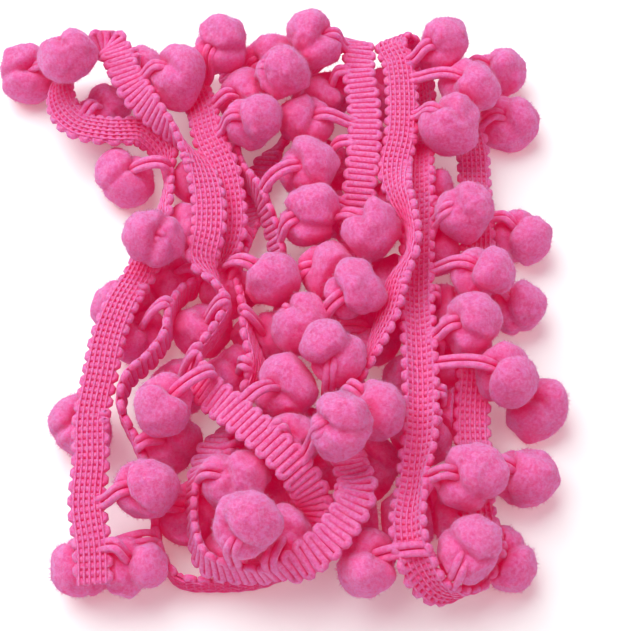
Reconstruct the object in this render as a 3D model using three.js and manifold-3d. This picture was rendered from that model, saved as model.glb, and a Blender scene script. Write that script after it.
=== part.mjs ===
import * as THREE from 'three';
import { mergeVertices } from 'three/addons/utils/BufferGeometryUtils.js';
import Module from 'manifold-3d';

// Pompom fringe trim: one length of woven braid with a felted pompom every few centimetres on
// one edge, gathered up into a loose hank. The braid runs up and down the hank nine times, and
// turns on its edge at each end. Millimetres, +Z up, standing on z = 0.

const BRAID_WIDTH = 7;
const BRAID_THICKNESS = 1.4;
const BALL_RADIUS = 5.7;
const LOOP_RADIUS = 1.6;          // the two cords of a loop, taken together
const LOOP_SIDES = 3;
const BALL_SIDES = 6;
const BALL_RINGS = 5;
const LOOP_BITE = 1;              // how far a loop is sewn into its braid
const CLEARANCE = 0.3;            // between pompoms, and between a pompom and a braid
const STATION_STEP = 5.5;         // along the braid
const PRESSED_HEIGHT = 0.6;       // what lies lower than this is pressed flat on the surface
const ON_FLOOR = BALL_RADIUS - PRESSED_HEIGHT;
const HALF_LENGTH = 61.5;         // of the hank, which its pompoms keep to
const SETTLE_ROUNDS = 120;
const PINK = '#e85a9b';

// Each pass of the hank, in the order of the trim. A row of `braid` is one stretch: the middle
// of the braid, and its roll about its own run (0 lies flat, 90 stands with the pompoms' edge
// up, 180 lies on its face). A row of `pompoms` is the middle of one pompom. Those that are
// `tucked` are squeezed in under the braids, and stay there.
const PASSES = [
  {
    name: 'left',
    braid: [
      { x: -29, y: -60.5, z: 12, roll: 0 },
      { x: -29.5, y: -54, z: 13, roll: 0 },
      { x: -31, y: -46, z: 13, roll: 0 },
      { x: -31, y: -38, z: 13, roll: 0 },
      { x: -31.5, y: -29, z: 13, roll: 0 },
      { x: -30.5, y: -20, z: 13, roll: 0 },
      { x: -29.5, y: -12, z: 13, roll: 0 },
      { x: -27.5, y: -5, z: 13, roll: 5 },
      { x: -24.5, y: 3, z: 11, roll: 10 },
      { x: -22.5, y: 11, z: 10, roll: 20 },
      { x: -21, y: 19, z: 9, roll: 60 },
      { x: -20.5, y: 28, z: 7, roll: 80 },
      { x: -21.5, y: 34.5, z: 7.5, roll: 45 },
      { x: -26, y: 38, z: 9, roll: 10 },
      { x: -33, y: 37, z: 11, roll: 0 },
      { x: -40, y: 39.5, z: 10, roll: 0 },
      { x: -44, y: 46, z: 9, roll: 20 },
      { x: -44, y: 54, z: 8, roll: 50 },
      { x: -40, y: 58.5, z: 9, roll: 90 },
    ],
    pompoms: [
      { x: -19, y: -54.5, z: 9 },
      { x: -20, y: -43.6, z: 13 },
      { x: -21.5, y: 7, z: 18 },
      { x: -30, y: 29, z: ON_FLOOR },
      { x: -31, y: 51, z: ON_FLOOR },
      { x: -41.5, y: 51.5, z: 14 },
      { x: -51.5, y: 56, z: ON_FLOOR },
    ],
    tucked: [
      { x: -35, y: -27, z: ON_FLOOR },
      { x: -27.5, y: -1, z: ON_FLOOR },
    ],
  },
  {
    name: 'leftMiddle',
    braid: [
      { x: -34, y: 59, z: 12, roll: 150 },
      { x: -31.5, y: 53, z: 14, roll: 180 },
      { x: -28.5, y: 46, z: 15, roll: 180 },
      { x: -24, y: 39.5, z: 15, roll: 130 },
      { x: -18.5, y: 33.5, z: 14, roll: 90 },
      { x: -14, y: 27, z: 14.5, roll: 40 },
      { x: -11.5, y: 19, z: 15, roll: 5 },
      { x: -11, y: 11, z: 15, roll: 0 },
      { x: -12, y: 4, z: 14, roll: 30 },
      { x: -9, y: -1.5, z: 13.5, roll: 80 },
      { x: -6.8, y: -6, z: 13.5, roll: 90 },
      { x: -9, y: -11.5, z: 13.5, roll: 90 },
      { x: -12.3, y: -17, z: 13.5, roll: 95 },
      { x: -10.5, y: -23.5, z: 15, roll: 140 },
      { x: -5, y: -30, z: 18, roll: 175 },
      { x: 1, y: -36, z: 20, roll: 180 },
      { x: 6, y: -41, z: 19, roll: 180 },
      { x: 10, y: -46, z: 12, roll: 150 },
      { x: 9, y: -53, z: 4.5, roll: 110 },
      { x: 1, y: -57, z: 4, roll: 90 },
      { x: -8, y: -58, z: 4, roll: 90 },
    ],
    pompoms: [
      { x: -26, y: 57, z: ON_FLOOR },
      { x: -18.5, y: 47.8, z: 16 },
      { x: -14.5, y: 19, z: ON_FLOOR },
      { x: -14, y: -8, z: 8 },
      { x: -18, y: -17, z: ON_FLOOR },
      { x: -17.5, y: -28.5, z: 15 },
      { x: 3, y: -24, z: 12 },
      { x: 6, y: -32, z: 14 },
      { x: 15, y: -35, z: 25 },
      { x: 4, y: -46, z: 10 },
      { x: -9, y: -57, z: ON_FLOOR },
    ],
  },
  {
    name: 'middle',
    braid: [
      { x: -15, y: -57, z: 4, roll: 90 },
      { x: -19, y: -50, z: 4, roll: 90 },
      { x: -20, y: -40, z: 4, roll: 90 },
      { x: -23.5, y: -32, z: 7, roll: 90 },
      { x: -26.3, y: -26, z: 11, roll: 90 },
      { x: -25.5, y: -21, z: 12, roll: 90 },
      { x: -21.5, y: -16.5, z: 12, roll: 90 },
      { x: -18.8, y: -12, z: 12, roll: 90 },
      { x: -18.3, y: -6, z: 10, roll: 90 },
      { x: -16.5, y: -0.5, z: 8, roll: 90 },
      { x: -12.5, y: 3.5, z: 6.3, roll: 90 },
      { x: -8.5, y: 7, z: 7, roll: 60 },
      { x: -7, y: 13, z: 10, roll: 20 },
      { x: -7.5, y: 20, z: 12, roll: 5 },
      { x: -9, y: 27, z: 13, roll: 0 },
      { x: -12, y: 34, z: 13, roll: 10 },
      { x: -13.5, y: 41, z: 12, roll: 20 },
      { x: -16, y: 49, z: 9, roll: 10 },
      { x: -19.5, y: 55.5, z: 9, roll: 0 },
      { x: -18, y: 60, z: 7, roll: 60 },
    ],
    pompoms: [
      { x: -13, y: -47, z: ON_FLOOR },
      { x: -14, y: -33, z: ON_FLOOR },
      { x: -17, y: 4, z: ON_FLOOR },
      { x: -23.5, y: -8, z: ON_FLOOR },
      { x: -1.5, y: 0, z: 10 },
      { x: -5.5, y: 37, z: 14 },
      { x: -7, y: 48, z: 12 },
      { x: -12, y: 57, z: 10 },
    ],
    tucked: [
      { x: -32.5, y: -55, z: ON_FLOOR },
    ],
  },
  {
    name: 'centre',
    braid: [
      { x: -10, y: 59, z: 5, roll: 120 },
      { x: -7, y: 52, z: 4, roll: 150 },
      { x: -6, y: 43, z: 4, roll: 170 },
      { x: -7.5, y: 34, z: 7, roll: 130 },
      { x: -4.5, y: 27.5, z: 9, roll: 90 },
      { x: -1, y: 20.5, z: 11, roll: 100 },
      { x: 2, y: 12, z: 8, roll: 110 },
      { x: 3.5, y: 2, z: 4.5, roll: 120 },
      { x: 4, y: -8, z: 4, roll: 120 },
      { x: 4, y: -18, z: 4, roll: 120 },
      { x: 7, y: -25, z: 4, roll: 100 },
    ],
    pompoms: [
      { x: -2.5, y: 56, z: 12 },
      { x: 1.5, y: 46, z: 14 },
      { x: 8.5, y: 26, z: 13 },
      { x: 8.5, y: 12, z: 12 },
      { x: 9, y: 3, z: 10 },
      { x: 8, y: -6, z: 10 },
      { x: 10, y: -17.6, z: 15 },
    ],
  },
  {
    name: 'ribbed',
    braid: [
      { x: 13, y: -24, z: 4.5, roll: 100 },
      { x: 14, y: -14, z: 4.5, roll: 130 },
      { x: 15, y: -4, z: 4, roll: 160 },
      { x: 16, y: 6, z: 5, roll: 180 },
      { x: 18, y: 14, z: 8, roll: 180 },
      { x: 19, y: 23, z: 12.5, roll: 180 },
      { x: 20, y: 32, z: 14, roll: 180 },
      { x: 20, y: 41, z: 14, roll: 180 },
      { x: 19, y: 50, z: 14, roll: 180 },
      { x: 19, y: 57, z: 13, roll: 170 },
      { x: 16, y: 60.5, z: 10, roll: 110 },
    ],
    pompoms: [
      { x: 16, y: -5, z: 14 },
      { x: 19.5, y: 8.5, z: 14 },
      { x: 21, y: -7, z: ON_FLOOR },
      { x: 6, y: 39, z: 13 },
      { x: 12.5, y: 48, z: 12 },
      { x: 8, y: 58, z: 12 },
    ],
    tucked: [
      { x: 12.5, y: 20, z: ON_FLOOR },
      { x: 12, y: 32, z: ON_FLOOR },
    ],
  },
  {
    name: 'under',
    braid: [
      { x: 9, y: 58, z: 4, roll: 90 },
      { x: 6, y: 50, z: 4, roll: 90 },
      { x: 4, y: 41, z: 4, roll: 90 },
      { x: 0, y: 34, z: 4, roll: 150 },
      { x: -2.5, y: 27, z: 3.5, roll: 165 },
      { x: -3.5, y: 20, z: 3.5, roll: 150 },
      { x: -4.5, y: 13, z: 4.5, roll: 120 },
      { x: -5.5, y: 4, z: 6, roll: 90 },
      { x: -4, y: -4, z: 10, roll: 85 },
      { x: -2.5, y: -12, z: 12, roll: 70 },
      { x: -1, y: -19, z: 12, roll: 60 },
      { x: -5, y: -27, z: 9, roll: 100 },
      { x: -9, y: -34, z: 10, roll: 150 },
      { x: -12, y: -41, z: 11, roll: 110 },
      { x: -12, y: -49, z: 10, roll: 100 },
      { x: -9.5, y: -56, z: 11, roll: 110 },
    ],
    pompoms: [
      { x: -12, y: 12, z: ON_FLOOR },
      { x: -7, y: -12, z: ON_FLOOR },
      { x: -3, y: -33, z: ON_FLOOR },
      { x: -4.5, y: -42, z: 10 },
      { x: -2, y: -54, z: 18 },
      { x: 2, y: -54, z: 8 },
    ],
    tucked: [
      { x: -7.5, y: 2.5, z: ON_FLOOR },
      { x: 0.5, y: -9, z: ON_FLOOR },
    ],
  },
  {
    name: 'right',
    braid: [
      { x: 3, y: -59, z: 14, roll: 90 },
      { x: 9, y: -57, z: 17, roll: 170 },
      { x: 14, y: -52, z: 17, roll: 180 },
      { x: 17.5, y: -45, z: 17, roll: 180 },
      { x: 16, y: -38, z: 14, roll: 170 },
      { x: 15, y: -30, z: 12, roll: 130 },
      { x: 19, y: -20, z: 14, roll: 80 },
      { x: 21.5, y: -14, z: 15, roll: 60 },
      { x: 23.5, y: -9, z: 16, roll: 50 },
      { x: 25.5, y: -2, z: 17, roll: 50 },
      { x: 28.5, y: 4, z: 18, roll: 75 },
      { x: 28.5, y: 11.5, z: 17, roll: 80 },
      { x: 26.5, y: 19, z: 16, roll: 50 },
      { x: 26, y: 26, z: 14, roll: 5 },
      { x: 27.5, y: 34, z: 14, roll: 0 },
      { x: 28, y: 43, z: 14, roll: 0 },
      { x: 27.5, y: 52, z: 14, roll: 0 },
      { x: 26, y: 58, z: 13, roll: 20 },
      { x: 29, y: 61, z: 10, roll: 90 },
    ],
    pompoms: [
      { x: 10, y: -47, z: 10 },
      { x: 20.5, y: -26, z: 14 },
      { x: 20, y: -40, z: ON_FLOOR },
      { x: 22, y: 5, z: ON_FLOOR },
      { x: 22, y: 22, z: ON_FLOOR },
      { x: 24, y: 36, z: ON_FLOOR },
      { x: 24, y: 50, z: ON_FLOOR },
      { x: 36.5, y: 57, z: 14 },
      { x: 41, y: 48, z: 14 },
      { x: 38, y: 36, z: 16 },
    ],
    tucked: [
      { x: 11.5, y: -35, z: ON_FLOOR },
    ],
  },
  {
    name: 'channel',
    braid: [
      { x: 33, y: 58, z: 5, roll: 120 },
      { x: 33, y: 50, z: 5, roll: 150 },
      { x: 32.5, y: 40, z: 6, roll: 170 },
      { x: 31, y: 31, z: 10, roll: 180 },
      { x: 30.5, y: 19, z: 11.5, roll: 180 },
      { x: 30, y: 8, z: 11.5, roll: 180 },
      { x: 29.5, y: -2, z: 12.5, roll: 180 },
      { x: 29.5, y: -13, z: 14, roll: 180 },
      { x: 29.5, y: -24, z: 14, roll: 180 },
      { x: 29, y: -34, z: 14, roll: 170 },
      { x: 28, y: -42, z: 14, roll: 140 },
      { x: 26.5, y: -51, z: 16, roll: 160 },
      { x: 27.5, y: -57, z: 15, roll: 170 },
      { x: 32, y: -61, z: 10, roll: 110 },
    ],
    pompoms: [
      { x: 35, y: 26, z: ON_FLOOR },
      { x: 39.5, y: 15, z: 14 },
      { x: 33, y: 8, z: ON_FLOOR },
      { x: 42.5, y: -1, z: 14 },
      { x: 38.5, y: -12, z: 12 },
      { x: 28, y: -17, z: ON_FLOOR },
      { x: 45.5, y: -21.5, z: 13 },
      { x: 37.5, y: -42, z: 13 },
      { x: 32.5, y: -54.5, z: 15 },
      { x: 34, y: -33, z: ON_FLOOR },
      { x: 26, y: -44, z: ON_FLOOR },
      { x: 21.5, y: -55, z: 14 },
    ],
    tucked: [
      { x: 34.5, y: 18, z: ON_FLOOR },
      { x: 34.5, y: -3, z: ON_FLOOR },
      { x: 34.5, y: -14, z: ON_FLOOR },
      { x: 34.5, y: -24, z: ON_FLOOR },
      { x: 34, y: -44, z: ON_FLOOR },
    ],
  },
  {
    name: 'outer',
    braid: [
      { x: 38, y: -59, z: 6, roll: 60 },
      { x: 40.5, y: -53, z: 8, roll: 20 },
      { x: 39.5, y: -45, z: 8, roll: 0 },
      { x: 39.5, y: -36, z: 8, roll: 0 },
      { x: 39.5, y: -27, z: 8, roll: 0 },
      { x: 40.5, y: -17, z: 9, roll: 0 },
      { x: 40.5, y: -8, z: 9, roll: 0 },
      { x: 41, y: 1, z: 9, roll: 0 },
      { x: 42.5, y: 10, z: 8, roll: 0 },
      { x: 43, y: 18, z: 7, roll: 0 },
      { x: 43, y: 27, z: 6, roll: 0 },
      { x: 43, y: 36, z: 6, roll: 10 },
      { x: 42, y: 46, z: 5, roll: 50 },
      { x: 42, y: 56, z: 4, roll: 70 },
    ],
    pompoms: [
      { x: 48.5, y: -37.5, z: ON_FLOOR },
      { x: 52.5, y: -23.5, z: ON_FLOOR },
      { x: 48.5, y: -1, z: ON_FLOOR },
      { x: 51.5, y: 15, z: ON_FLOOR },
      { x: 50.5, y: 43, z: ON_FLOOR },
      { x: 48, y: 56, z: ON_FLOOR },
    ],
    tucked: [
      { x: 44.5, y: -53.5, z: ON_FLOOR },
    ],
  },
];

const UP = new THREE.Vector3(0, 0, 1);
const point = ({ x, y, z }) => new THREE.Vector3(x, y, z);

// The whole trim is one run of rows. A station is one place on it: the middle of the braid, the
// way its width points towards the pompoms, and the way its face points.
const rows = PASSES.flatMap((pass) => pass.braid);
const trim = new THREE.CatmullRomCurve3(rows.map(point), false, 'centripetal');

function stationAt(stretch, share) {
  const t = (stretch + share) / (rows.length - 1);
  const run = trim.getTangent(t);
  const side = run.clone().cross(UP).normalize();
  const lift = side.clone().cross(run);
  const roll = THREE.MathUtils.degToRad(
    THREE.MathUtils.lerp(rows[stretch].roll, rows[stretch + 1].roll, share));
  return {
    middle: trim.getPoint(t),
    width: side.clone().multiplyScalar(Math.cos(roll)).addScaledVector(lift, Math.sin(roll)),
    face: side.clone().multiplyScalar(-Math.sin(roll)).addScaledVector(lift, Math.cos(roll)),
  };
}

// A pass has the stations from its own first row to the first row of the next pass.
function stationsOf(firstRow, stretches) {
  const stations = [stationAt(firstRow, 0)];
  for (let stretch = firstRow; stretch < firstRow + stretches; stretch += 1) {
    const length = point(rows[stretch]).distanceTo(point(rows[stretch + 1]));
    const steps = Math.max(1, Math.round(length / STATION_STEP));
    for (let step = 1; step <= steps; step += 1) stations.push(stationAt(stretch, step / steps));
  }
  return stations;
}

// The braid is a flat strip: a box with a slice at each station, bent to lie along them.
function braidGeometry(stations) {
  const slices = stations.length - 1;
  const strip = new THREE.BoxGeometry(BRAID_WIDTH, BRAID_THICKNESS, slices, 1, 1, slices);
  const place = strip.attributes.position;
  for (let i = 0; i < place.count; i += 1) {
    const station = stations[Math.round(place.getZ(i) + slices / 2)];
    const spot = station.middle.clone()
      .addScaledVector(station.width, place.getX(i))
      .addScaledVector(station.face, -place.getY(i));
    place.setXYZ(i, spot.x, spot.y, spot.z);
  }
  return strip;
}

// Pompoms that crowd each other or a braid are pushed aside, round by round, until they stand
// clear. The surface holds them up, and the braids stay where they are.
function settlePompoms(pompoms, stations) {
  const apart = 2 * BALL_RADIUS + CLEARANCE;
  const off = BALL_RADIUS + BRAID_THICKNESS / 2 + CLEARANCE;
  const reach = HALF_LENGTH - BALL_RADIUS;
  const half = BRAID_WIDTH / 2;
  for (let round = 0; round < SETTLE_ROUNDS; round += 1) {
    pompoms.forEach((a, i) => {
      pompoms.slice(i + 1).forEach((b) => {
        const push = b.middle.clone().sub(a.middle);
        const gap = push.length();
        if (gap < apart) {
          push.multiplyScalar((apart - gap) / (2 * gap));
          a.middle.sub(push);
          b.middle.add(push);
        }
      });
      stations.forEach((station) => {
        const push = a.middle.clone().sub(station.middle);
        const across = THREE.MathUtils.clamp(push.dot(station.width), -half, half);
        push.addScaledVector(station.width, -across);
        const gap = push.length();
        if (gap < off) a.middle.addScaledVector(push, (off - gap) / gap);
      });
      a.middle.z = Math.max(a.middle.z, ON_FLOOR);
      a.middle.y = THREE.MathUtils.clamp(a.middle.y, -reach, reach);
    });
  }
}

// A loop leaves the pompoms' edge of the braid at the place nearest to its pompom.
function rootOf(pompom, stations) {
  const edges = stations.map((station) => station.middle.clone()
    .addScaledVector(station.width, BRAID_WIDTH / 2 - LOOP_BITE));
  return edges.reduce((best, edge) => (
    edge.distanceTo(pompom.middle) < best.distanceTo(pompom.middle) ? edge : best));
}

function ballGeometry(pompom) {
  return new THREE.SphereGeometry(BALL_RADIUS, BALL_SIDES, BALL_RINGS)
    .rotateX(Math.PI / 2)
    .translate(pompom.middle.x, pompom.middle.y, pompom.middle.z);
}

function loopGeometry(pompom) {
  const along = pompom.middle.clone().sub(pompom.root);
  const turn = new THREE.Quaternion().setFromUnitVectors(
    new THREE.Vector3(0, 1, 0), along.clone().normalize());
  return new THREE.CylinderGeometry(LOOP_RADIUS, LOOP_RADIUS, along.length(), LOOP_SIDES)
    .translate(0, along.length() / 2, 0)
    .applyQuaternion(turn)
    .translate(pompom.root.x, pompom.root.y, pompom.root.z);
}

// Whatever hangs lower than the pressed height lies flat on the surface.
function pressFlat(geometry) {
  const place = geometry.attributes.position;
  for (let i = 0; i < place.count; i += 1) {
    if (place.getZ(i) < PRESSED_HEIGHT) place.setZ(i, 0);
  }
  return geometry;
}

const wasm = await Module();
wasm.setup();

function solidOf(geometry) {
  geometry.deleteAttribute('normal');
  geometry.deleteAttribute('uv');
  const merged = mergeVertices(geometry);
  return new wasm.Manifold(new wasm.Mesh({
    numProp: 3,
    vertProperties: new Float32Array(merged.attributes.position.array),
    triVerts: new Uint32Array(merged.index.array),
  }));
}

// All pieces are joined into one solid. Small pockets shut inside it are left out.
function joined(geometries) {
  const whole = wasm.Manifold.union(geometries.map(solidOf));
  const bodies = whole.decompose().filter((body) => body.volume() > 0);
  if (bodies.length !== 1) throw new Error(`${bodies.length} bodies in a one-piece trim`);
  const mesh = bodies[0].getMesh();
  const geometry = new THREE.BufferGeometry();
  geometry.setAttribute('position', new THREE.BufferAttribute(mesh.vertProperties, 3));
  geometry.setIndex(new THREE.BufferAttribute(mesh.triVerts, 1));
  geometry.computeVertexNormals();
  return geometry;
}

const hank = [];
PASSES.forEach((pass, i) => {
  const firstRow = hank.reduce((count, before) => count + before.rows, 0);
  const stretches = pass.braid.length - (i === PASSES.length - 1 ? 1 : 0);
  hank.push({
    rows: pass.braid.length,
    stations: stationsOf(firstRow, stretches),
    pompoms: pass.pompoms.map((middle) => ({ middle: point(middle) })),
    tucked: (pass.tucked ?? []).map((middle) => ({ middle: point(middle) })),
  });
});
settlePompoms(
  hank.flatMap((pass) => pass.pompoms),
  hank.flatMap((pass) => pass.stations));

const pieces = hank.flatMap(({ stations, pompoms: free, tucked }) => {
  const pompoms = [...free, ...tucked];
  pompoms.forEach((pompom) => { pompom.root = rootOf(pompom, stations); });
  return [
    braidGeometry(stations),
    ...pompoms.map(ballGeometry),
    ...pompoms.map(loopGeometry),
  ].map(pressFlat);
});

const yarn = new THREE.MeshStandardMaterial({ color: PINK, roughness: 0.9, metalness: 0 });
const pompomTrim = new THREE.Mesh(joined(pieces), yarn);
pompomTrim.name = 'pompom_trim';

const group = new THREE.Group();
group.add(pompomTrim);

export default group;
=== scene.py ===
"""Pompom fringe trim, dressed: its woven braid, its looped cords and its felted pompoms."""
import math

import bmesh
import bpy
import numpy as np
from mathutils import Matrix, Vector


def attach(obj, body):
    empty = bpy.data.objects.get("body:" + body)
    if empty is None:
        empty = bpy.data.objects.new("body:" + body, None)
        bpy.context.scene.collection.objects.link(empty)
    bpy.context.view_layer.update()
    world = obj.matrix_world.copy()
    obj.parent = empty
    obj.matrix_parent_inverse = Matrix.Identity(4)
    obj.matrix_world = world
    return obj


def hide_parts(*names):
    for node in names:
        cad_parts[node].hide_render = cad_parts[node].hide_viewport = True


bl_info = {
    "name": "Pompom Fringe Trim",
    "version": (1, 0, 0),
    "blender": (4, 5, 0),
    "location": "View3D > Sidebar > Pompom Trim",
    "description": "Dresses a hank of pompom fringe trim in yarn, cord and felt",
    "category": "Add Mesh",
}

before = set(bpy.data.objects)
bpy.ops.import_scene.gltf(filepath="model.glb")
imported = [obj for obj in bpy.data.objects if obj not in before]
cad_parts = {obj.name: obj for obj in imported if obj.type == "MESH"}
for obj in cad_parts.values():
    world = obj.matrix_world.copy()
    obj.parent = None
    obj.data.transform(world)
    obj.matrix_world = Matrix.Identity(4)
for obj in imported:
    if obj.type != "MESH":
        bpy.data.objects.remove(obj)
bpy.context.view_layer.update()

HANK = "pompom_trim"
BODY = "root"
MM = 0.001

# The hank in millimetres, on the surface z = 0, as the plain solid has it.
BRAID_WIDTH = 7
BRAID_THICKNESS = 1.4
BALL_RADIUS = 5.7
LOOP_BITE = 1              # how far a loop is sewn into its braid
CLEARANCE = 0.3            # that pompoms keep where they can
STATION_STEP = 5.5         # along the braid
ON_FLOOR = 5.1             # the middle of a pompom that lies on the surface
HALF_LENGTH = 61.5
SETTLE_ROUNDS = 120

# Yarns, cords and felt, in millimetres.
WARP_THREADS = 6
WARP_SPACING = 0.95
CUP = {"channel": 2.4, "left": 0.3, "right": 0.5}   # how far the edges of a pass curl up
CUP_EASE = 12
WEFT_LIFT = -0.18            # of the weft's middle from the braid's, off its face
PICOT_ROOM = 0.9             # kept for a picot inside the edge, in weft pitches
PICOT_REACH = 0.52           # of a picot past that room's start, in weft pitches
WARP_LIFT = 0.5
BACK_WARP_LIFT = -0.86
WARP_WAVE = 0.07             # how far a warp thread rises and dips over the weft
CORE_WIDTH = 5.8
CORE_THICKNESS = 0.35
CORE_LIFT = 0.12
CORE_STEP = 1.5
CORD_RADIUS = 0.72
SURFACE_GAP = 0.02           # left under what presses on the surface
DIMPLE_DEPTH = 0.25          # where a cord goes in, in ball radii
PRESS_GAP = 0.05             # half of what stays between two pompoms that press
PRESS_EASE = 0.8             # how far from the press a pompom starts to give
GATE_TILT = 1.15             # how far up a pompom its cords go in
BALL_SUBDIVISIONS = 5
FIBRE_LENGTH = 1.0
FIBRE_WIDTH = 0.09
FIBRE_LEAN = 0.6

# Painted shade and painted glow: an occlusion mask that looks SHELTER_REACH far deepens the colour
# and raises the emission where the yarns are sheltered.
PAINTED_SHADE_COLOUR = (0.9, 0.02, 0.19)   # painted shade: the colour put down between the yarns, where they are sheltered
SHELTER_REACH = 5 * MM
SHELTERED_PAINTED_GLOW = 0.16             # painted glow where the yarns are sheltered, an emission in place of the light they throw on each other
# painted glow on open yarn too, a faint emission everywhere
OPEN_PAINTED_GLOW = 0.04

# The stage: each light is (name, place, width, power, colour), in metres and watts.
LIGHTS = (
    ("key", (-0.35, 0.35, 0.8), 1.0, 12.5, (0.78, 1.0, 0.96)),
    ("fill", (0.6, -0.5, 0.7), 0.8, 2.0, (0.85, 1.0, 0.96)),
)
ROOM_LIGHT = 0.4
ROOM_COLOUR = (1.0, 0.42, 0.52)
SKY_COLOUR = (0.9, 0.88, 0.89)
CAMERA_TARGET = (0.010, -0.006, 0.010)
CAMERA_DISTANCE = 0.280
CAMERA_ELEVATION = 62
CAMERA_LENS = 82.27

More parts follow.
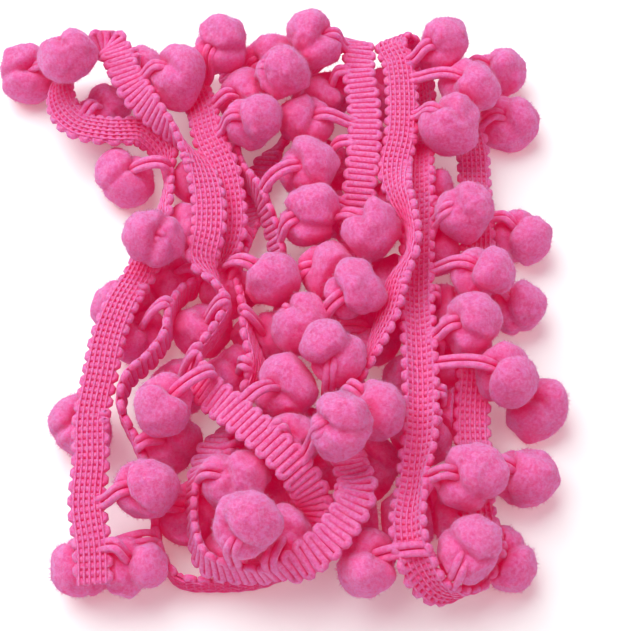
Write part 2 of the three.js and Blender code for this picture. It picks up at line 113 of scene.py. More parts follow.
# Each pass of the hank, in the order of the trim: its name, its braid's rows and its pompoms.
# A braid's row is (x, y, z, roll): the middle of the braid and its roll about its own run, where
# 0 lies flat, 90 stands with the pompoms' edge up and 180 lies on its face.
# A pompom's row is (x, y, z) of its middle. The last list holds the pompoms that are squeezed in
# under the braids, and stay there.
PASSES = [
    ("left",
     [(-29, -60.5, 12, 0), (-29.5, -54, 13, 0), (-31, -46, 13, 0), (-31, -38, 13, 0),
      (-31.5, -29, 13, 0), (-30.5, -20, 13, 0), (-29.5, -12, 13, 0), (-27.5, -5, 13, 5),
      (-24.5, 3, 11, 10), (-22.5, 11, 10, 20), (-21, 19, 9, 60), (-20.5, 28, 7, 80),
      (-21.5, 34.5, 7.5, 45), (-26, 38, 9, 10), (-33, 37, 11, 0), (-40, 39.5, 10, 0),
      (-44, 46, 9, 20), (-44, 54, 8, 50), (-40, 58.5, 9, 90)],
     [(-19, -54.5, 9), (-20, -43.6, 13), (-21.5, 7, 18), (-30, 29, ON_FLOOR), (-31, 51, ON_FLOOR),
      (-41.5, 51.5, 14), (-51.5, 56, ON_FLOOR)],
     [(-35, -27, ON_FLOOR), (-27.5, -1, ON_FLOOR)]),
    ("leftMiddle",
     [(-34, 59, 12, 150), (-31.5, 53, 14, 180), (-28.5, 46, 15, 180), (-24, 39.5, 15, 130),
      (-18.5, 33.5, 14, 90), (-14, 27, 14.5, 40), (-11.5, 19, 15, 5), (-11, 11, 15, 0),
      (-12, 4, 14, 30), (-9, -1.5, 13.5, 80), (-6.8, -6, 13.5, 90), (-9, -11.5, 13.5, 90),
      (-12.3, -17, 13.5, 95), (-10.5, -23.5, 15, 140), (-5, -30, 18, 175), (1, -36, 20, 180),
      (6, -41, 19, 180), (10, -46, 12, 150), (9, -53, 4.5, 110), (1, -57, 4, 90),
      (-8, -58, 4, 90)],
     [(-26, 57, ON_FLOOR), (-18.5, 47.8, 16), (-14.5, 19, ON_FLOOR), (-14, -8, 8),
      (-18, -17, ON_FLOOR), (-17.5, -28.5, 15), (3, -24, 12), (6, -32, 14), (15, -35, 25),
      (4, -46, 10), (-9, -57, ON_FLOOR)],
     []),
    ("middle",
     [(-15, -57, 4, 90), (-19, -50, 4, 90), (-20, -40, 4, 90), (-23.5, -32, 7, 90),
      (-26.3, -26, 11, 90), (-25.5, -21, 12, 90), (-21.5, -16.5, 12, 90), (-18.8, -12, 12, 90),
      (-18.3, -6, 10, 90), (-16.5, -0.5, 8, 90), (-12.5, 3.5, 6.3, 90), (-8.5, 7, 7, 60),
      (-7, 13, 10, 20), (-7.5, 20, 12, 5), (-9, 27, 13, 0), (-12, 34, 13, 10), (-13.5, 41, 12, 20),
      (-16, 49, 9, 10), (-19.5, 55.5, 9, 0), (-18, 60, 7, 60)],
     [(-13, -47, ON_FLOOR), (-14, -33, ON_FLOOR), (-17, 4, ON_FLOOR), (-23.5, -8, ON_FLOOR),
      (-1.5, 0, 10), (-5.5, 37, 14), (-7, 48, 12), (-12, 57, 10)],
     [(-32.5, -55, ON_FLOOR)]),
    ("centre",
     [(-10, 59, 5, 120), (-7, 52, 4, 150), (-6, 43, 4, 170), (-7.5, 34, 7, 130),
      (-4.5, 27.5, 9, 90), (-1, 20.5, 11, 100), (2, 12, 8, 110), (3.5, 2, 4.5, 120),
      (4, -8, 4, 120), (4, -18, 4, 120), (7, -25, 4, 100)],
     [(-2.5, 56, 12), (1.5, 46, 14), (8.5, 26, 13), (8.5, 12, 12), (9, 3, 10), (8, -6, 10),
      (10, -17.6, 15)],
     []),
    ("ribbed",
     [(13, -24, 4.5, 100), (14, -14, 4.5, 130), (15, -4, 4, 160), (16, 6, 5, 180),
      (18, 14, 8, 180), (19, 23, 12.5, 180), (20, 32, 14, 180), (20, 41, 14, 180),
      (19, 50, 14, 180), (19, 57, 13, 170), (16, 60.5, 10, 110)],
     [(16, -5, 14), (19.5, 8.5, 14), (21, -7, ON_FLOOR), (6, 39, 13), (12.5, 48, 12), (8, 58, 12)],
     [(12.5, 20, ON_FLOOR), (12, 32, ON_FLOOR)]),
    ("under",
     [(9, 58, 4, 90), (6, 50, 4, 90), (4, 41, 4, 90), (0, 34, 4, 150), (-2.5, 27, 3.5, 165),
      (-3.5, 20, 3.5, 150), (-4.5, 13, 4.5, 120), (-5.5, 4, 6, 90), (-4, -4, 10, 85),
      (-2.5, -12, 12, 70), (-1, -19, 12, 60), (-5, -27, 9, 100), (-9, -34, 10, 150),
      (-12, -41, 11, 110), (-12, -49, 10, 100), (-9.5, -56, 11, 110)],
     [(-12, 12, ON_FLOOR), (-7, -12, ON_FLOOR), (-3, -33, ON_FLOOR), (-4.5, -42, 10),
      (-2, -54, 18), (2, -54, 8)],
     [(-7.5, 2.5, ON_FLOOR), (0.5, -9, ON_FLOOR)]),
    ("right",
     [(3, -59, 14, 90), (9, -57, 17, 170), (14, -52, 17, 180), (17.5, -45, 17, 180),
      (16, -38, 14, 170), (15, -30, 12, 130), (19, -20, 14, 80), (21.5, -14, 15, 60),
      (23.5, -9, 16, 50), (25.5, -2, 17, 50), (28.5, 4, 18, 75), (28.5, 11.5, 17, 80),
      (26.5, 19, 16, 50), (26, 26, 14, 5), (27.5, 34, 14, 0), (28, 43, 14, 0), (27.5, 52, 14, 0),
      (26, 58, 13, 20), (29, 61, 10, 90)],
     [(10, -47, 10), (20.5, -26, 14), (20, -40, ON_FLOOR), (22, 5, ON_FLOOR), (22, 22, ON_FLOOR),
      (24, 36, ON_FLOOR), (24, 50, ON_FLOOR), (36.5, 57, 14), (41, 48, 14), (38, 36, 16)],
     [(11.5, -35, ON_FLOOR)]),
    ("channel",
     [(33, 58, 5, 120), (33, 50, 5, 150), (32.5, 40, 6, 170), (31, 31, 10, 180),
      (30.5, 19, 11.5, 180), (30, 8, 11.5, 180), (29.5, -2, 12.5, 180), (29.5, -13, 14, 180),
      (29.5, -24, 14, 180), (29, -34, 14, 170), (28, -42, 14, 140), (26.5, -51, 16, 160),
      (27.5, -57, 15, 170), (32, -61, 10, 110)],
     [(35, 26, ON_FLOOR), (39.5, 15, 14), (33, 8, ON_FLOOR), (42.5, -1, 14), (38.5, -12, 12),
      (28, -17, ON_FLOOR), (45.5, -21.5, 13), (37.5, -42, 13), (32.5, -54.5, 15),
      (34, -33, ON_FLOOR), (26, -44, ON_FLOOR), (21.5, -55, 14)],
     [(34.5, 18, ON_FLOOR), (34.5, -3, ON_FLOOR), (34.5, -14, ON_FLOOR), (34.5, -24, ON_FLOOR),
      (34, -44, ON_FLOOR)]),
    ("outer",
     [(38, -59, 6, 60), (40.5, -53, 8, 20), (39.5, -45, 8, 0), (39.5, -36, 8, 0),
      (39.5, -27, 8, 0), (40.5, -17, 9, 0), (40.5, -8, 9, 0), (41, 1, 9, 0), (42.5, 10, 8, 0),
      (43, 18, 7, 0), (43, 27, 6, 0), (43, 36, 6, 10), (42, 46, 5, 50), (42, 56, 4, 70)],
     [(48.5, -37.5, ON_FLOOR), (52.5, -23.5, ON_FLOOR), (48.5, -1, ON_FLOOR), (51.5, 15, ON_FLOOR),
      (50.5, 43, ON_FLOOR), (48, 56, ON_FLOOR)],
     [(44.5, -53.5, ON_FLOOR)]),
]

UP = np.array((0.0, 0.0, 1.0))
ROWS = np.array([row for _, braid, *_ in PASSES for row in braid], dtype=float)


# ---------------------------------------------------------------- the run of the trim

def unit(v):
    return v / np.linalg.norm(v, axis=-1, keepdims=True)


def stretch_at(stretch, share):
    """Middle, run, width and face directions of the braid at shares of one stretch of the trim."""
    last = len(ROWS) - 1
    here, there = ROWS[stretch, :3], ROWS[stretch + 1, :3]
    before = ROWS[stretch - 1, :3] if stretch else 2 * here - there
    after = ROWS[stretch + 2, :3] if stretch + 2 <= last else 2 * there - here
    d0, d1, d2 = (np.sqrt(np.linalg.norm(b - a))
                  for a, b in ((before, here), (here, there), (there, after)))
    leave = d1 * ((here - before) / d0 - (there - before) / (d0 + d1) + (there - here) / d1)
    arrive = d1 * ((there - here) / d1 - (after - here) / (d1 + d2) + (after - there) / d2)
    t = np.asarray(share, dtype=float)[:, None]
    bend = 2 * here - 2 * there + leave + arrive
    turn = -3 * here + 3 * there - 2 * leave - arrive
    middle = here + leave * t + turn * t ** 2 + bend * t ** 3
    run = unit(leave + 2 * turn * t + 3 * bend * t ** 2)
    side = unit(np.cross(run, UP))
    lift = np.cross(side, run)
    roll = np.radians(ROWS[stretch, 3] + (ROWS[stretch + 1, 3] - ROWS[stretch, 3]) * t)
    width = side * np.cos(roll) + lift * np.sin(roll)
    face = lift * np.cos(roll) - side * np.sin(roll)
    return middle, run, width, face


def pass_spans():
    """First row and number of stretches of each pass, which runs on to the next one's."""
    spans = []
    first = 0
    for _, braid, *_ in PASSES:
        stretches = min(len(braid), len(ROWS) - 1 - first)
        spans.append((first, stretches))
        first += len(braid)
    return spans


def stations_of(first, stretches, step):
    """Stations at about `step` along one pass: arrays of middle, run, width and face."""
    parts = [stretch_at(first, [0.0])]
    for stretch in range(first, first + stretches):
        length = np.linalg.norm(ROWS[stretch + 1, :3] - ROWS[stretch, :3])
        steps = max(1, int(length / step + 0.5))
        parts.append(stretch_at(stretch, np.arange(1, steps + 1) / steps))
    return [np.concatenate(column) for column in zip(*parts)]


def settled_pompoms():
    """Middles of all pompoms, pushed aside until they stand clear, and each one's sewn root."""
    stations = [stations_of(first, stretches, STATION_STEP) for first, stretches in pass_spans()]
    middles = np.concatenate([part[0] for part in stations])
    widths = np.concatenate([part[2] for part in stations])
    balls = np.array([p for _, _, pompoms, _ in PASSES for p in pompoms], dtype=float)
    apart = 2 * BALL_RADIUS + CLEARANCE
    off = BALL_RADIUS + BRAID_THICKNESS / 2 + CLEARANCE
    reach = HALF_LENGTH - BALL_RADIUS
    half = BRAID_WIDTH / 2
    for _ in range(SETTLE_ROUNDS):
        for i, ball in enumerate(balls):
            near = np.linalg.norm(balls[i + 1:] - ball, axis=1) < apart + 3
            for j in np.flatnonzero(near) + i + 1:
                push = balls[j] - ball
                gap = math.sqrt(push @ push)
                if gap < apart:
                    push *= (apart - gap) / (2 * gap)
                    ball -= push
                    balls[j] += push
            near = np.linalg.norm(middles - ball, axis=1) < off + half + 3
            for k in np.flatnonzero(near):
                push = ball - middles[k]
                push -= min(max(push @ widths[k], -half), half) * widths[k]
                gap = math.sqrt(push @ push)
                if gap < off:
                    ball += push * (off - gap) / gap
            ball[2] = max(ball[2], ON_FLOOR)
            ball[1] = min(max(ball[1], -reach), reach)
    pompoms = []
    index = 0
    for part, (_, _, rows, tucked) in zip(stations, PASSES):
        edges = part[0] + part[2] * (half - LOOP_BITE)
        own = []
        for middle in [*balls[index:index + len(rows)], *np.array(tucked, dtype=float)]:
            k = np.argmin(np.linalg.norm(edges - middle, axis=1))
            inward = unit(unit(middle - edges[k]) - GATE_TILT * UP)
            beside = unit(part[1][k] - (part[1][k] @ inward) * inward)
            own.append({"middle": middle, "root": edges[k], "width": part[2][k],
                        "inward": inward, "beside": beside})
        pompoms.append(own)
        index += len(rows)
    return pompoms


# ---------------------------------------------------------------- making pieces

def add_piece(name, mesh, material):
    """Links a finished mesh, pressed flat where it meets the surface, as a piece of the trim."""
    places = np.empty(len(mesh.vertices) * 3)
    mesh.vertices.foreach_get("co", places)
    places[2::3] = np.maximum(places[2::3], SURFACE_GAP * MM)
    mesh.vertices.foreach_set("co", places)
    mesh.materials.clear()
    mesh.materials.append(material)
    mesh.shade_smooth()
    piece = bpy.data.objects.new(name, mesh)
    bpy.context.scene.collection.objects.link(piece)
    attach(piece, BODY)
    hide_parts(HANK)
    return piece


def tubes(name, paths, radius, sides):
    """Mesh of round tubes along paths of points in millimetres."""
    curve = bpy.data.curves.new(name, "CURVE")
    curve.dimensions = "3D"
    curve.bevel_depth = radius * MM
    curve.bevel_resolution = (sides - 4) // 2
    curve.use_fill_caps = True
    for path in paths:
        spline = curve.splines.new("POLY")
        spline.points.add(len(path) - 1)
        spline.points.foreach_set("co", np.column_stack((path * MM, np.ones(len(path)))).ravel())
    holder = bpy.data.objects.new(name, curve)
    mesh = bpy.data.meshes.new_from_object(holder)
    bpy.data.objects.remove(holder)
    bpy.data.curves.remove(curve)
    return mesh


def joined(name, meshes):
    """One mesh of several, which are used up."""
    bm = bmesh.new()
    for mesh in meshes:
        bm.from_mesh(mesh)
        bpy.data.meshes.remove(mesh)
    whole = bpy.data.meshes.new(name)
    bm.to_mesh(whole)
    bm.free()
    return whole


class Ribbon:
    """One pass of the braid: places on it by length along it, across it and off its face."""

    def __init__(self, first, stretches, cup=0.0):
        self.cup = cup
        self.middle, self.run, self.width, self.face = stations_of(first, stretches, 0.5)
        steps = np.linalg.norm(np.diff(self.middle, axis=0), axis=1)
        self.along = np.concatenate(([0.0], np.cumsum(steps)))
        self.length = self.along[-1]

    def blend(self, column, along):
        return np.column_stack([np.interp(along, self.along, column[:, i]) for i in range(3)])

    def at(self, along, across, off):
        across, off = np.asarray(across), np.asarray(off)
        ends = np.clip(np.minimum(along, self.length - along) / CUP_EASE, 0, 1)
        off = off + self.cup * ends * (1 / 3 - (across * 2 / BRAID_WIDTH) ** 2)
        return (self.blend(self.middle, along)
                + self.blend(self.width, along) * across[:, None]
                + self.blend(self.face, along) * off[:, None])


# ---------------------------------------------------------------- braid

def weft_path(ribbon, sizes):
    """The thick cord that crosses the braid back and forth, with a picot at each edge."""
    pitch = sizes.weft_pitch / MM
    reach = BRAID_WIDTH / 2 - pitch * PICOT_ROOM
    crossings = int(ribbon.length / pitch)
    pitch = ribbon.length / crossings
    straight = np.arange(-WARP_THREADS + 1, WARP_THREADS) * WARP_SPACING / 2
    straight = np.clip(straight, -reach, reach)
    turn = np.radians((20, 65, 115, 160))
    along, across = [], []
    for k in range(crossings):
        hand = 1 if k % 2 == 0 else -1
        start = (k + 0.5) * pitch
        along.extend([start] * len(straight))
        across.extend(straight * hand)
        if k < crossings - 1:
            along.extend(start + pitch / 2 * (1 - np.cos(turn)))
            across.extend((reach + pitch * PICOT_REACH * np.sin(turn)) * hand)
    off = np.full(len(along), WEFT_LIFT)
    return ribbon.at(np.array(along), np.array(across), off)


def warp_paths(ribbon, sizes, lift=WARP_LIFT):
    """The fine threads that run along the braid's face, over one crossing and under the next."""
    pitch = sizes.weft_pitch / MM
    crossings = int(ribbon.length / pitch)
    along = np.linspace(0, ribbon.length, 2 * crossings + 1)
    paths = []
    for thread in range(WARP_THREADS):
        across = (thread - (WARP_THREADS - 1) / 2) * WARP_SPACING
        phase = np.pi * (np.arange(len(along)) / 2 - 0.5 + thread)
        off = lift + WARP_WAVE * np.cos(phase)
        paths.append(ribbon.at(along, np.full(len(along), across), off))
    return paths


def core_mesh(ribbon):
    """The flat ground of the braid, that closes the gaps between its yarns."""
    steps = int(ribbon.length / CORE_STEP)
    bm = bmesh.new()
    bmesh.ops.create_grid(bm, x_segments=2, y_segments=steps, size=0.5)
    places = np.array([v.co for v in bm.verts])
    along = (places[:, 1] + 0.5) * ribbon.length
    spots = ribbon.at(along, places[:, 0] * CORE_WIDTH, np.full(len(along), CORE_LIFT))
    for vert, spot in zip(bm.verts, spots):
        vert.co = spot * MM
    bmesh.ops.solidify(bm, geom=bm.faces[:], thickness=CORE_THICKNESS * MM)
    mesh = bpy.data.meshes.new("core")
    bm.to_mesh(mesh)
    bm.free()
    return mesh


# ---------------------------------------------------------------- cords and pompoms

def cord_paths(pompom):
    """The two cords of one loop, side by side, from the braid's edge into the pompom's crease."""
    root, middle = pompom["root"], pompom["middle"]
    reach = np.linalg.norm(root - middle)
    inward = pompom["inward"]
    start = root - pompom["width"] * 0.8
    leave = root + pompom["width"] * min(0.35 * reach, 3.5) + UP
    arrive = middle - inward * (BALL_RADIUS + 3)
    end = middle - inward * BALL_RADIUS * 0.3
    t = np.linspace(0, 1, 13)[:, None]
    path = ((1 - t) ** 3 * start + 3 * t * (1 - t) ** 2 * leave
            + 3 * t ** 2 * (1 - t) * arrive + t ** 3 * end)
    beside = pompom["beside"]
    gap = CORD_RADIUS * (1.02 + 0.1 * np.sin(np.pi * t))
    return [path + beside * gap, path - beside * gap]


def felted_ball(unit_ball, pompom, neighbours, ribbons, rng):
    """Places of a lumpy ball, drawn in by its cord and pressed by what it meets."""
    inward, middle = pompom["inward"], pompom["middle"]
    turn = rng.uniform(-0.9, 0.9)
    beside = (pompom["beside"] * math.cos(turn)
              + np.cross(inward, pompom["beside"]) * math.sin(turn))
    across = np.cross(inward, beside)
    belt, depth = rng.uniform(0, 0.7), rng.uniform(0.18, 0.34)
    facing = -unit_ball @ inward
    aside = unit_ball @ across
    aside = aside + rng.uniform(-0.3, 0.3)
    aside = aside + 0.12 * np.sin(3 * unit_ball @ beside + rng.uniform(0, 6))
    fade = np.clip((facing + 0.5) / 1.3, 0, 1)
    crease = np.exp(-(aside / rng.uniform(0.15, 0.3)) ** 2) * (belt + (1 - belt) * fade ** 2)
    dimple = np.exp(-(1 - facing) / 0.07)
    swell = 0.98 + 0.12 * aside ** 2 - depth * crease - DIMPLE_DEPTH * dimple
    for amount, spread, count in ((0.16, 0.1, 14), (0.05, 0.015, 200)):
        spots = unit(rng.normal(size=(count, 3)))
        amounts = rng.uniform(-amount, amount, count)
        swell = swell + np.exp(-(1 - unit_ball @ spots.T) / spread) @ amounts
    ball = middle + unit_ball * swell[:, None] * BALL_RADIUS
    for other in neighbours:
        apart = other - middle
        gap = math.sqrt(apart @ apart)
        if gap < 2 * BALL_RADIUS * 1.1:
            push = apart / gap
            over = (ball - middle) @ push - (gap / 2 - PRESS_GAP)
            eased = over + PRESS_EASE
            over = np.where(eased > 0, eased ** 2 / (eased + PRESS_EASE), 0)
            ball = ball - np.outer(over, push)
    for ribbon in ribbons:
        near = np.flatnonzero(np.linalg.norm(ribbon.middle - middle, axis=1) < BALL_RADIUS + 4)
        for k in near:
            reach = ball - ribbon.middle[k]
            side = 1 if (middle - ribbon.middle[k]) @ ribbon.face[k] > 0 else -1
            high = reach @ ribbon.face[k] * side
            inside = ((np.abs(reach @ ribbon.run[k]) < 0.45)
                      & (np.abs(reach @ ribbon.width[k]) < BRAID_WIDTH / 2 + 0.3)
                      & (high < 0.9) & (high > -BALL_RADIUS * 0.6))
            ball[inside] += np.outer(0.9 - high[inside], ribbon.face[k] * side)
    return ball


def fibre_copies(spike, faces, roots, normals, rng):
    """Vertices and faces of many loose fibres, copies of one spike stood on the given roots."""
    lean = unit(normals + rng.normal(scale=FIBRE_LEAN, size=normals.shape))
    first = unit(np.cross(lean, rng.normal(size=normals.shape)))
    second = np.cross(lean, first)
    length = rng.uniform(0.4, 1, (len(roots), 1, 1)) * FIBRE_LENGTH
    places = (roots[:, None]
              + first[:, None] * spike[None, :, :1] * FIBRE_WIDTH
              + second[:, None] * spike[None, :, 1:2] * FIBRE_WIDTH
              + lean[:, None] * spike[None, :, 2:] * length)
    shifts = np.arange(len(roots))[:, None, None] * len(spike)
    return places.reshape(-1, 3), (faces[None] + shifts).reshape(-1, 3)


def shape_arrays(bm):
    """Vertices and three-sided faces of a bmesh as arrays."""
    bm.verts.index_update()
    places = np.array([v.co for v in bm.verts])
    faces = np.array([[v.index for v in f.verts] for f in bm.faces])
    bm.free()
    return places, faces


def unit_ball_arrays():
    bm = bmesh.new()
    bmesh.ops.create_icosphere(bm, subdivisions=BALL_SUBDIVISIONS, radius=1)
    return shape_arrays(bm)


def spike_arrays():
    """A three-sided spike of height 1 and width 1, open at its root."""
    bm = bmesh.new()
    bmesh.ops.create_cone(bm, cap_ends=False, segments=3, radius1=0.5, radius2=0, depth=1)
    bmesh.ops.remove_doubles(bm, verts=bm.verts, dist=1e-4)
    bmesh.ops.translate(bm, verts=bm.verts, vec=(0, 0, 0.5))
    return shape_arrays(bm)


def mesh_of(name, places, faces):
    mesh = bpy.data.meshes.new(name)
    mesh.from_pydata(places * MM, [], faces)
    mesh.validate()
    return mesh


# ---------------------------------------------------------------- finishes

def yarn_finish(name, colour, shade, clump, fuzz, sheen, glow):
    """Dyed yarn or felt: patches of two tints, a fine raised nap, a soft sheen, painted shade
    where the yarns are sheltered and a painted glow.
    """
    material = bpy.data.materials.new(name)
    material.use_nodes = True
    nodes, links = material.node_tree.nodes, material.node_tree.links
    skin = nodes["Principled BSDF"]
    skin.inputs["Roughness"].default_value = 0.9
    skin.inputs["Specular IOR Level"].default_value = 0.15
    skin.inputs["Sheen Weight"].default_value = sheen
    skin.inputs["Sheen Roughness"].default_value = 0.45
    skin.inputs["Sheen Tint"].default_value = (0.55, 0.62, 1.0, 1)
    # painted glow: a crimson emission, stronger where the yarns are sheltered
    skin.inputs["Emission Color"].default_value = (1.0, 0.0, 0.13, 1)
    skin.inputs["Subsurface Weight"].default_value = 0.8
    skin.inputs["Subsurface Radius"].default_value = (1.0, 0.2, 0.35)
    skin.inputs["Subsurface Scale"].default_value = glow
    place = nodes.new("ShaderNodeTexCoord")
    patches = nodes.new("ShaderNodeTexNoise")
    patches.inputs["Scale"].default_value = 1 / clump
    patches.inputs["Detail"].default_value = 4
    links.new(place.outputs["Object"], patches.inputs["Vector"])
    nap = nodes.new("ShaderNodeTexNoise")
    nap.inputs["Scale"].default_value = 1 / fuzz
    nap.inputs["Detail"].default_value = 3
    nap.inputs["Distortion"].default_value = 1.5
    links.new(place.outputs["Object"], nap.inputs["Vector"])
    blend = nodes.new("ShaderNodeMath")
    blend.operation = "MULTIPLY_ADD"
    blend.inputs[1].default_value = 0.5
    links.new(nap.outputs["Fac"], blend.inputs[0])
    half = nodes.new("ShaderNodeMath")
    half.operation = "MULTIPLY"
    half.inputs[1].default_value = 0.5
    links.new(patches.outputs["Fac"], half.inputs[0])
    links.new(half.outputs["Value"], blend.inputs[2])
    tints = nodes.new("ShaderNodeValToRGB")
    tints.color_ramp.elements[0].position = 0.38
    tints.color_ramp.elements[0].color = (*(c * s for c, s in zip(colour, shade)), 1)
    tints.color_ramp.elements[1].position = 0.58
    tints.color_ramp.elements[1].color = (*colour, 1)
    links.new(blend.outputs["Value"], tints.inputs["Fac"])
    # painted shade: an occlusion mask turns the colour towards a deep crimson where the yarns are
    # sheltered
    shelter = nodes.new("ShaderNodeAmbientOcclusion")
    shelter.samples = 2
    shelter.inputs["Distance"].default_value = SHELTER_REACH
    depth = nodes.new("ShaderNodeMix")
    depth.data_type = "RGBA"
    depth.inputs[6].default_value = (*PAINTED_SHADE_COLOUR, 1)
    links.new(shelter.outputs["AO"], depth.inputs["Factor"])
    # painted glow: emission strength from the occlusion mask, higher in sheltered spots
    painted_glow = nodes.new("ShaderNodeMapRange")
    painted_glow.inputs["To Min"].default_value = SHELTERED_PAINTED_GLOW
    painted_glow.inputs["To Max"].default_value = OPEN_PAINTED_GLOW
    links.new(shelter.outputs["AO"], painted_glow.inputs["Value"])
    links.new(painted_glow.outputs["Result"], skin.inputs["Emission Strength"])
    links.new(tints.outputs["Color"], depth.inputs[7])
    links.new(depth.outputs[2], skin.inputs["Base Color"])
    relief = nodes.new("ShaderNodeBump")
    relief.inputs["Strength"].default_value = 1.0
    relief.inputs["Distance"].default_value = fuzz
    links.new(nap.outputs["Fac"], relief.inputs["Height"])
    links.new(relief.outputs["Normal"], skin.inputs["Normal"])
    return material


def felt_finish(colours):
    return yarn_finish("pompom_felt", colours.pompom, shade=(0.95, 0.42, 0.6), clump=0.7 * MM,
                       fuzz=0.32 * MM, sheen=0.45, glow=1.2 * MM)


def braid_finish(colours):
    return yarn_finish("braid_yarn", colours.braid, shade=(0.94, 0.38, 0.56), clump=0.6 * MM,
                       fuzz=0.24 * MM, sheen=0.4, glow=0.2 * MM)


def cord_finish(colours):
    return yarn_finish("loop_cord", colours.cord, shade=(0.95, 0.42, 0.6), clump=0.9 * MM,
                       fuzz=0.24 * MM, sheen=0.4, glow=0.4 * MM)


# ---------------------------------------------------------------- settings and operators

class TrimSizes(bpy.types.PropertyGroup):
    """Sizes that a maker would change."""

    weft_pitch: bpy.props.FloatProperty(
        name="Weft pitch", description="From one crossing of the thick cord to the next",
        default=0.0013, unit="LENGTH")
    weft_radius: bpy.props.FloatProperty(
        name="Weft radius", description="Half the thickness of the cord that crosses the braid",
        default=0.00074, unit="LENGTH")
    warp_radius: bpy.props.FloatProperty(
        name="Warp radius", description="Half the thickness of the threads along the braid",
        default=0.00024, unit="LENGTH")
    fibres: bpy.props.IntProperty(
        name="Fibres", description="Loose fibres that stand from one pompom", default=900, min=0)


class TrimColours(bpy.types.PropertyGroup):
    """Dyes of the trim."""

    pompom: bpy.props.FloatVectorProperty(
        name="Pompom", description="Dye of the felted pompoms",
        default=(0.92, 0.27, 0.62), subtype="COLOR", min=0, max=1)
    braid: bpy.props.FloatVectorProperty(
        name="Braid", description="Dye of the woven braid",
        default=(0.92, 0.29, 0.64), subtype="COLOR", min=0, max=1)
    cord: bpy.props.FloatVectorProperty(
        name="Cord", description="Dye of the loops that carry the pompoms",
        default=(0.92, 0.29, 0.64), subtype="COLOR", min=0, max=1)


class TRIM_OT_braid(bpy.types.Operator):
    """Weaves the braid of every pass of the hank"""

    bl_idname = "pompom_trim.braid"
    bl_label = "Weave Braid"

    def execute(self, context):
        sizes = context.scene.trim_sizes
        finish = braid_finish(context.scene.trim_colours)
        for (name, *_), (first, stretches) in zip(PASSES, pass_spans()):
            ribbon = Ribbon(first, stretches, CUP.get(name, 0))
            weft = tubes("weft", [weft_path(ribbon, sizes)], sizes.weft_radius / MM, 6)
            threads = warp_paths(ribbon, sizes)
            if name == "channel":
                threads += warp_paths(ribbon, sizes, BACK_WARP_LIFT)
            warp = tubes("warp", threads, sizes.warp_radius / MM, 4)
            add_piece(f"braid_{name}", joined("braid", [core_mesh(ribbon), weft, warp]), finish)
        return {"FINISHED"}


class TRIM_OT_cords(bpy.types.Operator):
    """Sews on the looped cords that carry the pompoms"""

    bl_idname = "pompom_trim.cords"
    bl_label = "Sew Cords"

    def execute(self, context):
        finish = cord_finish(context.scene.trim_colours)
        for (name, *_), pompoms in zip(PASSES, settled_pompoms()):
            paths = [path for pompom in pompoms for path in cord_paths(pompom)]
            add_piece(f"cords_{name}", tubes("cords", paths, CORD_RADIUS, 6), finish)
        return {"FINISHED"}


class TRIM_OT_pompoms(bpy.types.Operator):
    """Felts the pompoms, with their creases and loose fibres"""

    bl_idname = "pompom_trim.pompoms"
    bl_label = "Felt Pompoms"

    def execute(self, context):
        fibres = context.scene.trim_sizes.fibres
        finish = felt_finish(context.scene.trim_colours)
        rng = np.random.default_rng(7)
        unit_ball, ball_faces = unit_ball_arrays()
        spike, spike_faces = spike_arrays()
        ribbons = [Ribbon(first, stretches) for first, stretches in pass_spans()]
        hank = settled_pompoms()
        middles = [pompom["middle"] for pompoms in hank for pompom in pompoms]
        for (name, *_), pompoms in zip(PASSES, hank):
            places, faces = [], []
            count = 0
            for pompom in pompoms:
                others = [m for m in middles if m is not pompom["middle"]]
                ball = felted_ball(unit_ball, pompom, others, ribbons, rng)
                corners = ball[ball_faces]
                slopes = np.cross(corners[:, 1] - corners[:, 0], corners[:, 2] - corners[:, 0])
                picks = rng.choice(len(ball_faces), fibres)
                roots = corners[picks].mean(axis=1)
                slopes = unit(slopes[picks])
                hair, hair_faces = fibre_copies(spike, spike_faces, roots, slopes, rng)
                for part, part_faces in ((ball, ball_faces), (hair, hair_faces)):
                    places.append(part)
                    faces.append(part_faces + count)
                    count += len(part)
            mesh = mesh_of("pompoms", np.concatenate(places), np.concatenate(faces))
            add_piece(f"pompoms_{name}", mesh, finish)
        return {"FINISHED"}


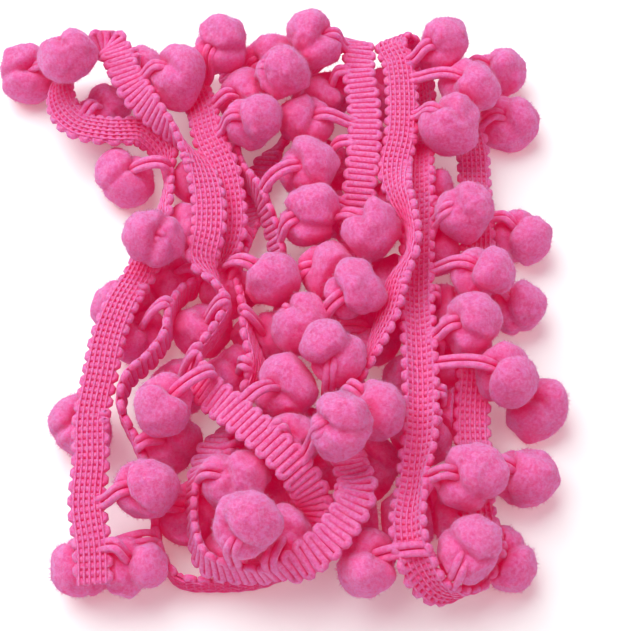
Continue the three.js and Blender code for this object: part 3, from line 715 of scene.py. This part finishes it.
class TRIM_OT_stage(bpy.types.Operator):
    """Sets the floor, the lights and the camera"""

    bl_idname = "pompom_trim.stage"
    bl_label = "Set Stage"

    def execute(self, context):
        scene = context.scene
        bm = bmesh.new()
        bmesh.ops.create_circle(bm, cap_ends=True, segments=64, radius=1.5)
        mesh = bpy.data.meshes.new("floor")
        bm.to_mesh(mesh)
        bm.free()
        paper = bpy.data.materials.new("paper")
        paper.use_nodes = True
        sheet = paper.node_tree.nodes["Principled BSDF"]
        sheet.inputs["Base Color"].default_value = (0.98, 0.98, 0.98, 1)
        sheet.inputs["Roughness"].default_value = 0.9
        sheet.inputs["Emission Color"].default_value = (0.85, 1, 1, 1)
        sheet.inputs["Emission Strength"].default_value = 0.15
        mesh.materials.append(paper)
        floor = bpy.data.objects.new("floor", mesh)
        scene.collection.objects.link(floor)

        aim = Vector((0.0, 0.0, 0.01))
        for name, place, width, power, colour in LIGHTS:
            lamp = bpy.data.lights.new(name, "AREA")
            lamp.size = width
            lamp.energy = power
            lamp.color = colour
            light = bpy.data.objects.new(name, lamp)
            light.location = place
            light.rotation_euler = (aim - Vector(place)).to_track_quat("-Z", "Y").to_euler()
            scene.collection.objects.link(light)

        world = bpy.data.worlds.new("studio")
        world.use_nodes = True
        nodes, links = world.node_tree.nodes, world.node_tree.links
        room = nodes["Background"]
        room.inputs["Color"].default_value = (*ROOM_COLOUR, 1)
        room.inputs["Strength"].default_value = ROOM_LIGHT
        backdrop = nodes.new("ShaderNodeBackground")
        backdrop.inputs["Color"].default_value = (*SKY_COLOUR, 1)
        seen = nodes.new("ShaderNodeLightPath")
        either = nodes.new("ShaderNodeMixShader")
        links.new(seen.outputs["Is Camera Ray"], either.inputs["Fac"])
        links.new(room.outputs["Background"], either.inputs[1])
        links.new(backdrop.outputs["Background"], either.inputs[2])
        links.new(either.outputs["Shader"], nodes["World Output"].inputs["Surface"])
        scene.world = world
        scene.view_settings.view_transform = "Standard"

        lens = bpy.data.cameras.new("camera")
        lens.sensor_width = 36
        lens.lens = CAMERA_LENS
        camera = bpy.data.objects.new("camera", lens)
        tilt = math.radians(CAMERA_ELEVATION)
        target = Vector(CAMERA_TARGET)
        back = Vector((0, -math.cos(tilt), math.sin(tilt)))
        camera.location = target + back * CAMERA_DISTANCE
        camera.rotation_euler = back.to_track_quat("Z", "Y").to_euler()
        scene.collection.objects.link(camera)
        scene.camera = camera
        return {"FINISHED"}


class TRIM_PT_panel(bpy.types.Panel):
    """Lists the sizes, the dyes and the steps of the trim"""

    bl_idname = "TRIM_PT_panel"
    bl_label = "Pompom Trim"
    bl_space_type = "VIEW_3D"
    bl_region_type = "UI"
    bl_category = "Pompom Trim"

    def draw(self, context):
        layout = self.layout
        for settings in (context.scene.trim_sizes, context.scene.trim_colours):
            for name in settings.__annotations__:
                layout.prop(settings, name)
        for step in STEPS:
            layout.operator(step.bl_idname)


STEPS = (TRIM_OT_braid, TRIM_OT_cords, TRIM_OT_pompoms, TRIM_OT_stage)
CLASSES = (TrimSizes, TrimColours, *STEPS, TRIM_PT_panel)


def register():
    for cls in CLASSES:
        bpy.utils.register_class(cls)
    bpy.types.Scene.trim_sizes = bpy.props.PointerProperty(type=TrimSizes)
    bpy.types.Scene.trim_colours = bpy.props.PointerProperty(type=TrimColours)


def unregister():
    del bpy.types.Scene.trim_colours
    del bpy.types.Scene.trim_sizes
    for cls in reversed(CLASSES):
        bpy.utils.unregister_class(cls)


def main():
    register()
    bpy.ops.pompom_trim.braid()
    bpy.ops.pompom_trim.cords()
    bpy.ops.pompom_trim.pompoms()
    bpy.ops.pompom_trim.stage()


if __name__ == "__main__":
    main()
